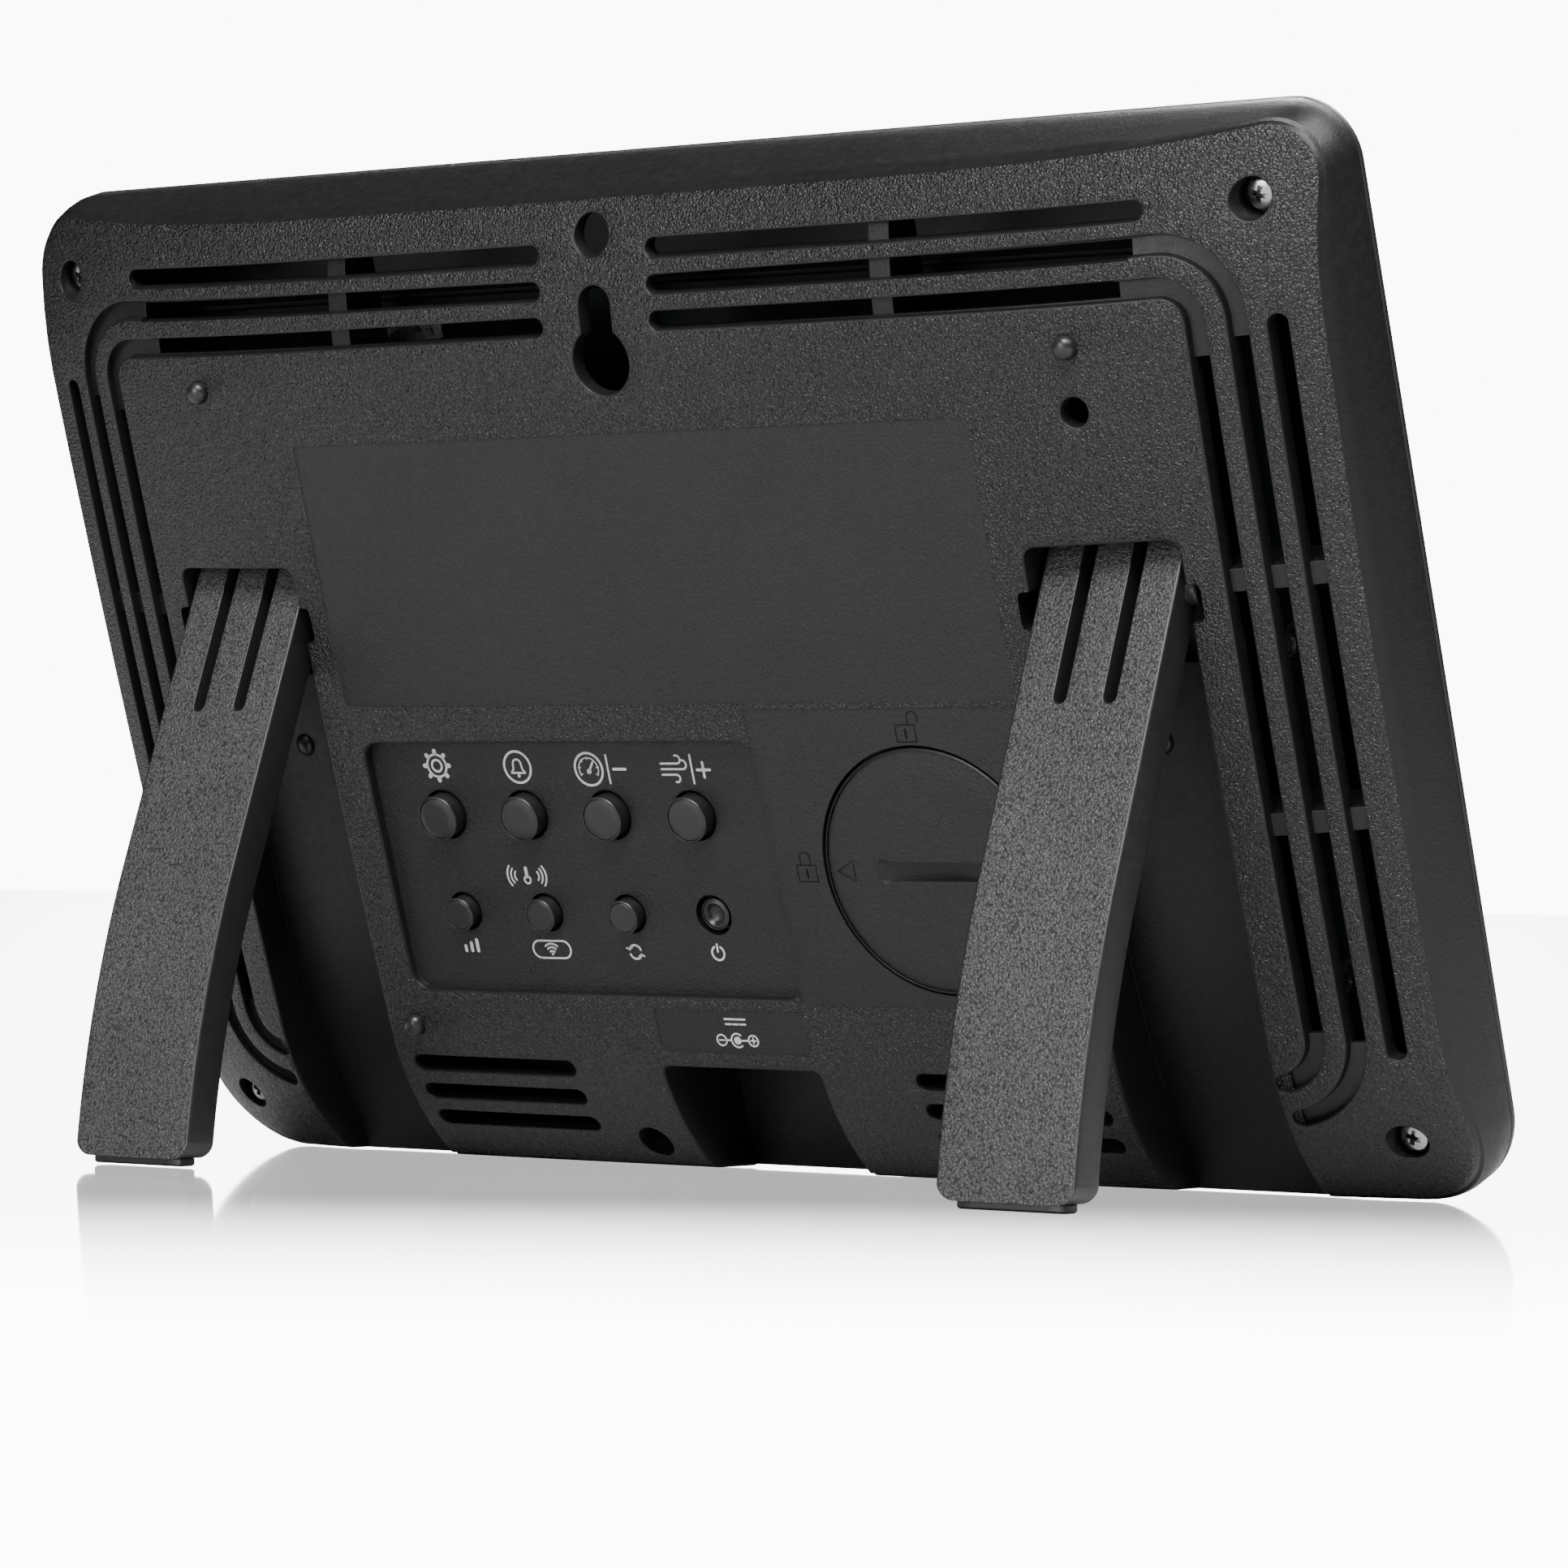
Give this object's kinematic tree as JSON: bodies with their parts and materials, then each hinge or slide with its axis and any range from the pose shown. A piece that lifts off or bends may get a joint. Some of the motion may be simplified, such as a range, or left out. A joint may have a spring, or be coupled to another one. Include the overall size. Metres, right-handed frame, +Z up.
{
  "type": "tabletop weather display console",
  "caption": "Slim display console leaning back on two fold-out legs, with a vented back, push keys, a coin-cell door, a power inlet bay and wall-hanging holes.",
  "frame": {"origin": "on the table under the middle of the standing object's box", "axes": "+X along the case's width, towards its left when seen from behind; +Y backwards, away from the display; +Z up"},
  "size_m": [0.202, 0.0696, 0.1306],
  "materials": {
    "bezel_plastic": "gloss",
    "window": "clear gloss",
    "display_glass": "satin",
    "elastomer": "matte",
    "diffuser": "satin",
    "led": "gloss",
    "carrier_plastic": "matte",
    "circuit_board": "black solder mask",
    "screw_steel": "bright plated",
    "chip": "matte",
    "shield_can": "tinned",
    "ribbon": "satin",
    "jack_plastic": "satin",
    "contact_metal": "plated",
    "cell_steel": "polished",
    "case_plastic": "fine grain",
    "rubber": "matte",
    "leg_plastic": "fine grain",
    "door_plastic": "satin",
    "key_plastic": "satin"
  },
  "bodies": {
    "housing": {"front_bezel": "bezel_plastic", "display_window": "window", "lcd_panel": "display_glass", "lcd_connectors": "elastomer", "light_guide": "diffuser", "backlight_leds": "led", "lcd_carrier": "carrier_plastic", "main_board": "circuit_board", "board_screws": "screw_steel", "board_chips": "chip", "radio_module": "shield_can", "climate_sensor": "carrier_plastic", "piezo_buzzer": "chip", "ribbon_cable": "ribbon", "button_board": "circuit_board", "tact_switches": "chip", "button_board_screws": "screw_steel", "dc_jack": "jack_plastic", "battery_contacts": "contact_metal", "coin_cell": "cell_steel", "rear_cover": "case_plastic", "case_screws": "screw_steel", "wall_bumpers": "rubber", "leg_bumpers": "rubber"},
    "left_leg": {"left_leg": "leg_plastic", "left_leg_pad": "rubber"},
    "right_leg": {"right_leg": "leg_plastic", "right_leg_pad": "rubber"},
    "battery_door": {"battery_door": "door_plastic"},
    "key_settings": {"key_settings": "key_plastic"},
    "key_alarm": {"key_alarm": "key_plastic"},
    "key_minus": {"key_minus": "key_plastic"},
    "key_plus": {"key_plus": "key_plastic"},
    "key_channel": {"key_channel": "key_plastic"},
    "key_wireless": {"key_wireless": "key_plastic"},
    "key_refresh": {"key_refresh": "key_plastic"},
    "key_reset": {"key_reset": "key_plastic"}
  },
  "joints": [
    {"name": "left_leg_fold", "type": "hinge", "parent": "housing", "child": "left_leg", "pos_m": [0.0678, 0.01027, 0.07308], "axis": [1, 0, 0], "range_deg": [-39.5, 0]},
    {"name": "right_leg_fold", "type": "hinge", "parent": "housing", "child": "right_leg", "pos_m": [-0.0678, 0.01027, 0.07308], "axis": [1, 0, 0], "range_deg": [-39.5, 0]},
    {"name": "battery_door_turn", "type": "hinge", "parent": "housing", "child": "battery_door", "pos_m": [-0.0364, 0.00228, 0.03973], "axis": [0, -0.9426, 0.3338], "range_deg": [0, 90]},
    {"name": "key_settings_press", "type": "slide", "parent": "housing", "child": "key_settings", "axis": [0, -0.9426, 0.3338], "range_m": [0, 0.0005], "stiffness_N_per_m": 500},
    {"name": "key_alarm_press", "type": "slide", "parent": "housing", "child": "key_alarm", "axis": [0, -0.9426, 0.3338], "range_m": [0, 0.0005], "stiffness_N_per_m": 500},
    {"name": "key_minus_press", "type": "slide", "parent": "housing", "child": "key_minus", "axis": [0, -0.9426, 0.3338], "range_m": [0, 0.0005], "stiffness_N_per_m": 500},
    {"name": "key_plus_press", "type": "slide", "parent": "housing", "child": "key_plus", "axis": [0, -0.9426, 0.3338], "range_m": [0, 0.0005], "stiffness_N_per_m": 500},
    {"name": "key_channel_press", "type": "slide", "parent": "housing", "child": "key_channel", "axis": [0, -0.9426, 0.3338], "range_m": [0, 0.0005], "stiffness_N_per_m": 500},
    {"name": "key_wireless_press", "type": "slide", "parent": "housing", "child": "key_wireless", "axis": [0, -0.9426, 0.3338], "range_m": [0, 0.0005], "stiffness_N_per_m": 500},
    {"name": "key_refresh_press", "type": "slide", "parent": "housing", "child": "key_refresh", "axis": [0, -0.9426, 0.3338], "range_m": [0, 0.0005], "stiffness_N_per_m": 500},
    {"name": "key_reset_press", "type": "slide", "parent": "housing", "child": "key_reset", "axis": [0, -0.9426, 0.3338], "range_m": [0, 0.0005], "stiffness_N_per_m": 500}
  ]
}
